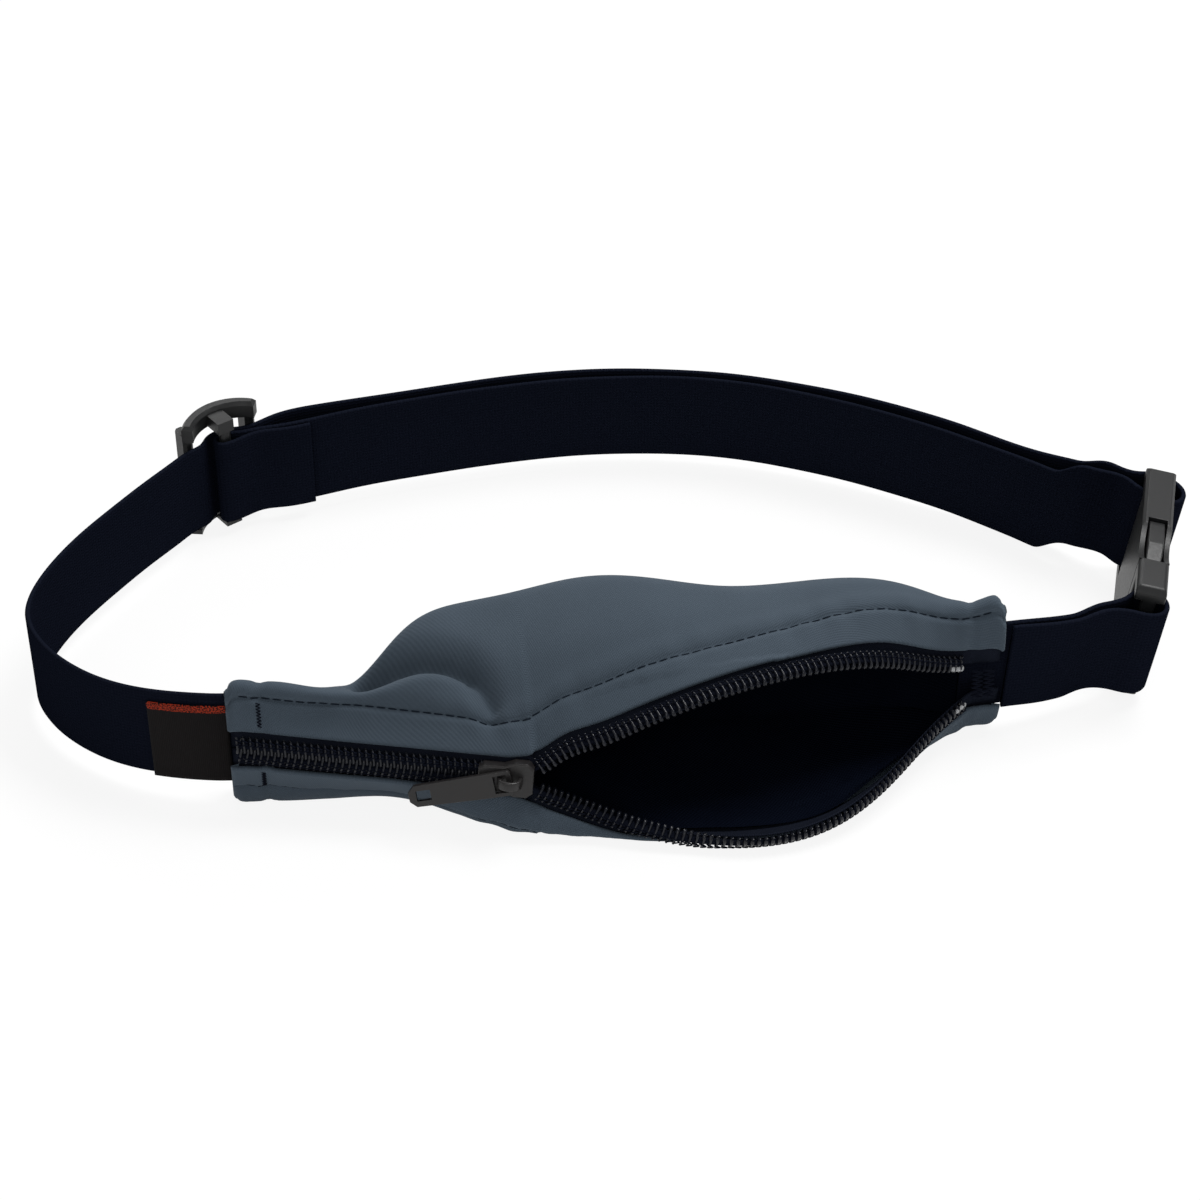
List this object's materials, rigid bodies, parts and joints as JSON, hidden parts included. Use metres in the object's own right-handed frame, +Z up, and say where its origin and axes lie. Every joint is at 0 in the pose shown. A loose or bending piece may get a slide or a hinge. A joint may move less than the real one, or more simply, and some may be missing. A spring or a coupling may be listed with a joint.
{
  "type": "money belt",
  "caption": "Slim waist belt: a zipped stretch fabric pouch on an elastic strap with a three-bar adjuster and a side-release buckle.",
  "frame": {"origin": "middle of the pouch's base, where it rests", "axes": "+X along the pouch towards the buckle, +Y towards the wearer, +Z up"},
  "size_m": [0.2929, 0.1654, 0.0435],
  "materials": {
    "pocket_cloth": "matt knitted stretch fabric",
    "lining": "matt woven mesh",
    "webbing": "ribbed elastic webbing",
    "zip_tape": "smooth woven tape",
    "zip_teeth": "satin coil",
    "zip_metal": "satin dark enamel",
    "zip_stop": "clear satin",
    "hardware": "fine satin",
    "label": "matt woven label"
  },
  "bodies": {
    "pocket": {"pocket_shell": "pocket_cloth", "pocket_lining": "lining", "zipper_tape_upper": "zip_tape", "zipper_tape_lower": "zip_tape", "zipper_teeth_upper": "zip_teeth", "zipper_teeth_lower": "zip_teeth", "zipper_top_stops": "zip_stop", "side_label": "label", "strap_left_run": "webbing", "strap_adjuster_pass": "webbing", "strap_back_outer": "webbing", "strap_bend_outer": "webbing", "strap_back_inner": "webbing", "strap_bend_inner": "webbing", "strap_slack_inner": "webbing", "strap_right": "webbing", "buckle_plug": "hardware"},
    "slider": {"slider_body": "zip_metal", "slider_bridge": "zip_metal"},
    "pull": {"pull_tab": "zip_metal"},
    "adjuster": {"adjuster": "hardware", "strap_end_loop": "webbing"},
    "socket": {"buckle_socket": "hardware", "strap_socket_loop": "webbing"},
    "arm_upper": {"plug_arm_upper": "hardware"},
    "arm_lower": {"plug_arm_lower": "hardware"}
  },
  "joints": [
    {"name": "slider_slide", "type": "slide", "parent": "pocket", "child": "slider", "axis": [-0.9736, 0.2203, 0.0599], "range_m": [0, 0.052], "deforming": ["zipper_teeth_upper", "zipper_teeth_lower"]},
    {"name": "pull_hinge", "type": "hinge", "parent": "slider", "child": "pull", "pos_m": [-0.02922, -0.02311, 0.01632], "axis": [-0.139, 0.3044, 0.9423], "range_deg": [0, 165]},
    {"name": "adjuster_slide", "type": "slide", "parent": "pocket", "child": "adjuster", "axis": [0.866, 0.5, 0], "range_m": [-0.01, 0.006], "deforming": ["strap_adjuster_pass", "strap_slack_inner"]},
    {"name": "socket_slide", "type": "slide", "parent": "pocket", "child": "socket", "axis": [0.3305, 0.9438, 0], "range_m": [0, 0.024], "deforming": ["strap_bend_outer", "strap_bend_inner", "plug_arm_upper", "plug_arm_lower"]},
    {"name": "arm_lower_press", "type": "hinge", "parent": "pocket", "child": "arm_lower", "pos_m": [0.13133, 0.01711, 0.00443], "axis": [0.9357, -0.3277, -0.1305], "range_deg": [0, 7], "stiffness_Nm_per_rad": 0.2},
    {"name": "arm_upper_press", "type": "hinge", "parent": "pocket", "child": "arm_upper", "pos_m": [0.13455, 0.01598, 0.03037], "axis": [0.9357, -0.3277, -0.1305], "range_deg": [-7, 0], "stiffness_Nm_per_rad": 0.2}
  ],
  "couplings": [
    {"joint": "arm_upper_press", "follows": "arm_lower_press", "ratio": -1}
  ]
}
